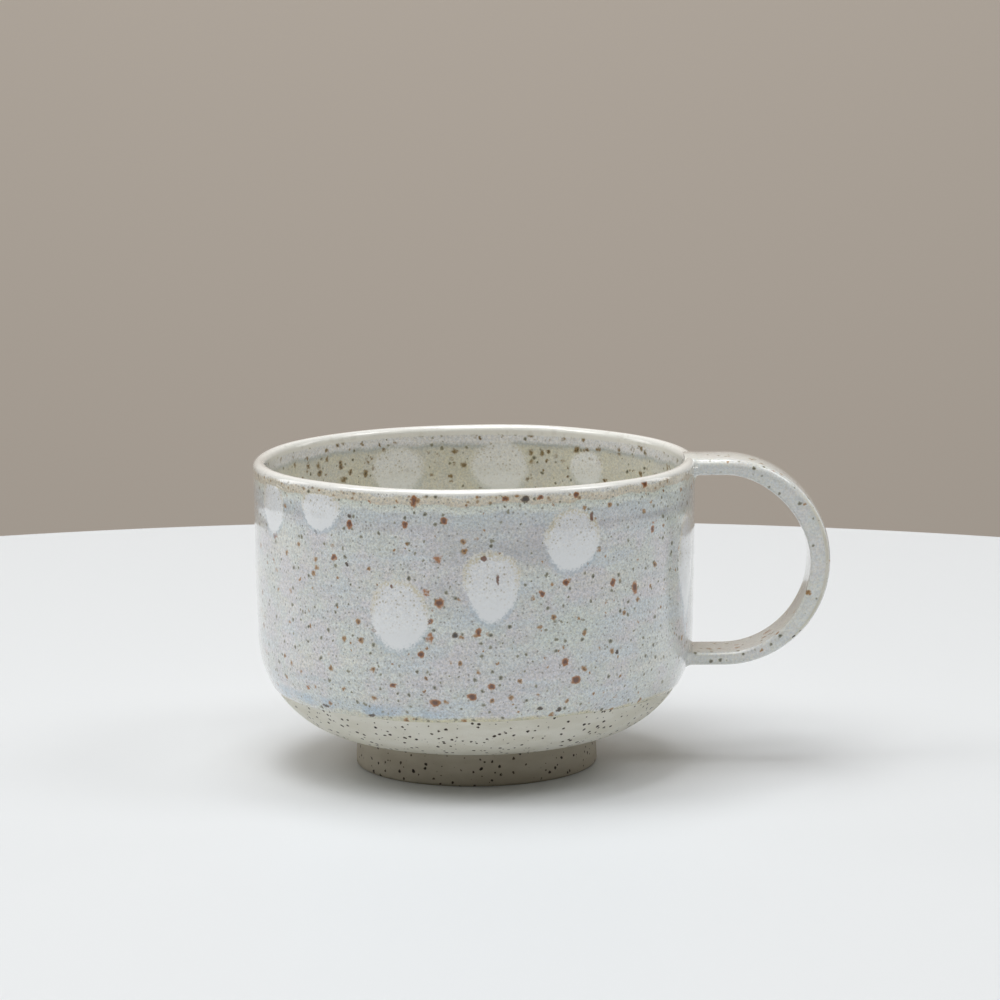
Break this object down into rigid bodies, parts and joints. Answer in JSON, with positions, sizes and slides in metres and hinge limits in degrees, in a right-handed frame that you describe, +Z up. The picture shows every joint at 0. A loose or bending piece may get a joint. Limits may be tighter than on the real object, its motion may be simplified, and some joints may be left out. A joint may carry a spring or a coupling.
{
  "type": "mug",
  "caption": "Wide, low stoneware mug with a straight wall, rounded bowl, turned foot ring and half-round strap handle; speckled grey glaze with white dabs above a bare clay base.",
  "frame": {"origin": "centre of the foot ring, in the plane it stands on", "axes": "+Z up along the bowl's axis, out of the mouth; +X towards the handle; +Y completes a right-handed frame"},
  "size_m": [0.125, 0.096, 0.0674],
  "materials": {
    "bare_clay": "unglazed speckled stoneware, semi-matt",
    "speckled_glaze": "glossy grey-lavender glaze with iron specks",
    "liner_glaze": "glossy warm grey-green glaze with iron specks",
    "pale_rim_glaze": "cream glaze, thin over the lip",
    "white_glaze": "satin white glaze dabs"
  },
  "bodies": {
    "root": {"cup_body": "bare_clay", "foot_ring": "bare_clay", "handle_strap": "bare_clay", "upper_joint_slip": "bare_clay", "lower_joint_slip": "bare_clay", "outer_glaze": "speckled_glaze", "handle_glaze": "speckled_glaze", "liner_glaze": "liner_glaze", "rim_glaze": "pale_rim_glaze", "outer_white_spots": "white_glaze", "liner_white_spots": "white_glaze"}
  },
  "joints": []
}
